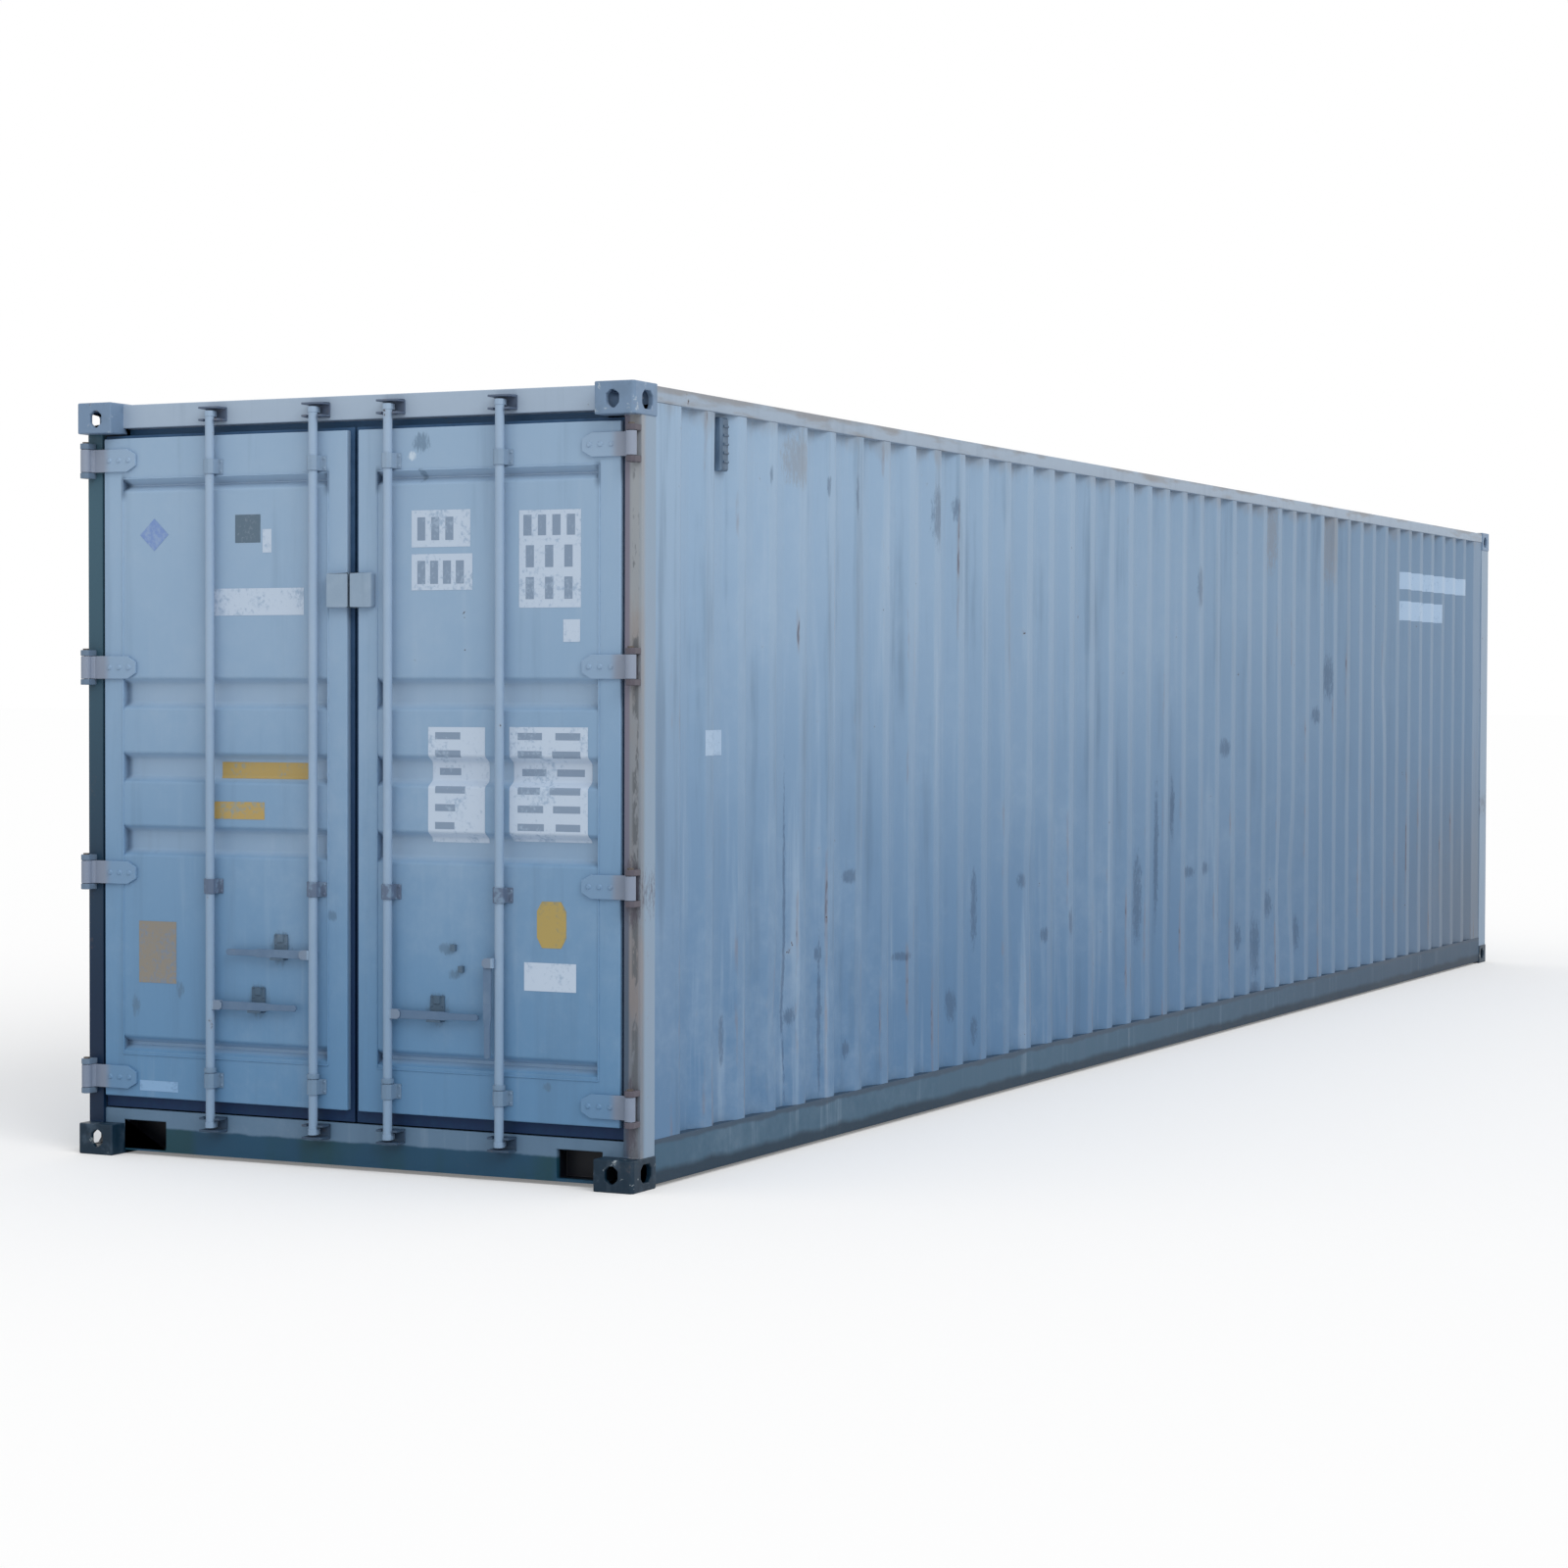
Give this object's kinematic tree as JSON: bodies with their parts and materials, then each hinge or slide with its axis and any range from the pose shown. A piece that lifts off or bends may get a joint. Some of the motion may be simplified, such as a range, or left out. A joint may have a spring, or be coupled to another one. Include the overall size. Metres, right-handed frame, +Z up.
{
  "type": "forty foot high cube shipping container",
  "caption": "Long steel freight box with corrugated walls, two hinged end doors with lock rods and handles, slotted corner castings and a wooden floor.",
  "frame": {"origin": "middle of the footprint, on the plane of the bottom castings' lower faces", "axes": "+X along the length towards the closed front wall, doors at -X, +Z up, +Y towards the left side as seen by someone who faces the doors"},
  "size_m": [12.192, 2.438, 2.896],
  "materials": {
    "blue_paint": "weathered blue enamel with rust at edges and dents",
    "underframe_paint": "dark worn blue enamel with rust",
    "hardware_paint": "blue grey enamel, chipped",
    "rod_paint": "blue enamel, worn where hands grip",
    "door_rubber": "aged rubber with overspray",
    "floor_plywood": "scuffed marine plywood",
    "worn_steel": "worn bare steel",
    "pin_steel": "dull steel with light rust"
  },
  "bodies": {
    "container": {"bottom_side_rails": "underframe_paint", "cam_keepers": "hardware_paint", "corner_castings_bottom": "underframe_paint", "corner_castings_top": "blue_paint", "cross_members": "underframe_paint", "door_header": "blue_paint", "door_sill": "underframe_paint", "floor_boards": "floor_plywood", "floor_centre_rail": "worn_steel", "front_bottom_rail": "underframe_paint", "front_corner_posts": "blue_paint", "front_top_rail": "blue_paint", "front_wall": "blue_paint", "gooseneck_tunnel_plate": "underframe_paint", "gooseneck_tunnel_webs": "underframe_paint", "hinge_lugs": "hardware_paint", "hinge_pins": "pin_steel", "left_wall": "blue_paint", "rear_corner_posts": "blue_paint", "right_wall": "blue_paint", "roof": "blue_paint", "threshold_plate": "worn_steel", "top_side_rails": "blue_paint", "tunnel_outriggers": "underframe_paint", "ventilators": "blue_paint"},
    "left_door": {"left_door_frame": "blue_paint", "left_door_gasket": "door_rubber", "left_door_panel": "blue_paint", "left_handle_retainers": "hardware_paint", "left_hinge_blades": "blue_paint", "left_rod_guides": "blue_paint", "left_seal_box": "blue_paint"},
    "right_door": {"right_door_frame": "blue_paint", "right_door_gasket": "door_rubber", "right_door_panel": "blue_paint", "right_handle_retainers": "hardware_paint", "right_hinge_blades": "blue_paint", "right_rod_guides": "blue_paint", "right_seal_box": "blue_paint"},
    "rod_outer_left": {"lock_rod_outer_left": "rod_paint"},
    "grip_outer_left": {"handle_outer_left": "rod_paint"},
    "rod_inner_left": {"lock_rod_inner_left": "rod_paint"},
    "grip_inner_left": {"handle_inner_left": "rod_paint"},
    "rod_inner_right": {"lock_rod_inner_right": "rod_paint"},
    "grip_inner_right": {"handle_inner_right": "rod_paint"},
    "rod_outer_right": {"lock_rod_outer_right": "rod_paint"},
    "grip_outer_right": {"handle_outer_right": "rod_paint"}
  },
  "joints": [
    {"name": "left_door_hinge", "type": "hinge", "parent": "container", "child": "left_door", "pos_m": [-6.071, 1.194, 1.448], "axis": [0, 0, -1], "range_deg": [0, 262]},
    {"name": "right_door_hinge", "type": "hinge", "parent": "container", "child": "right_door", "pos_m": [-6.071, -1.194, 1.448], "axis": [0, 0, 1], "range_deg": [0, 262]},
    {"name": "rod_turn_outer_left", "type": "hinge", "parent": "left_door", "child": "rod_outer_left", "pos_m": [-6.066, 0.62, 1.448], "axis": [0, 0, 1], "range_deg": [-110, 0]},
    {"name": "rod_turn_inner_left", "type": "hinge", "parent": "left_door", "child": "rod_inner_left", "pos_m": [-6.066, 0.155, 1.448], "axis": [0, 0, -1], "range_deg": [-110, 0]},
    {"name": "rod_turn_inner_right", "type": "hinge", "parent": "right_door", "child": "rod_inner_right", "pos_m": [-6.066, -0.173, 1.448], "axis": [0, 0, 1], "range_deg": [-110, 0]},
    {"name": "rod_turn_outer_right", "type": "hinge", "parent": "right_door", "child": "rod_outer_right", "pos_m": [-6.066, -0.65, 1.448], "axis": [0, 0, -1], "range_deg": [-110, 0]},
    {"name": "handle_lift_outer_left", "type": "hinge", "parent": "rod_outer_left", "child": "grip_outer_left", "pos_m": [-6.066, 0.58, 0.6], "axis": [-1, 0, 0], "range_deg": [0, 25]},
    {"name": "handle_lift_inner_left", "type": "hinge", "parent": "rod_inner_left", "child": "grip_inner_left", "pos_m": [-6.066, 0.195, 0.803], "axis": [1, 0, 0], "range_deg": [0, 25]},
    {"name": "handle_lift_inner_right", "type": "hinge", "parent": "rod_inner_right", "child": "grip_inner_right", "pos_m": [-6.066, -0.213, 0.6], "axis": [-1, 0, 0], "range_deg": [0, 25]},
    {"name": "handle_lift_outer_right", "type": "hinge", "parent": "rod_outer_right", "child": "grip_outer_right", "pos_m": [-6.066, -0.61, 0.803], "axis": [1, 0, 0], "range_deg": [0, 110]}
  ]
}
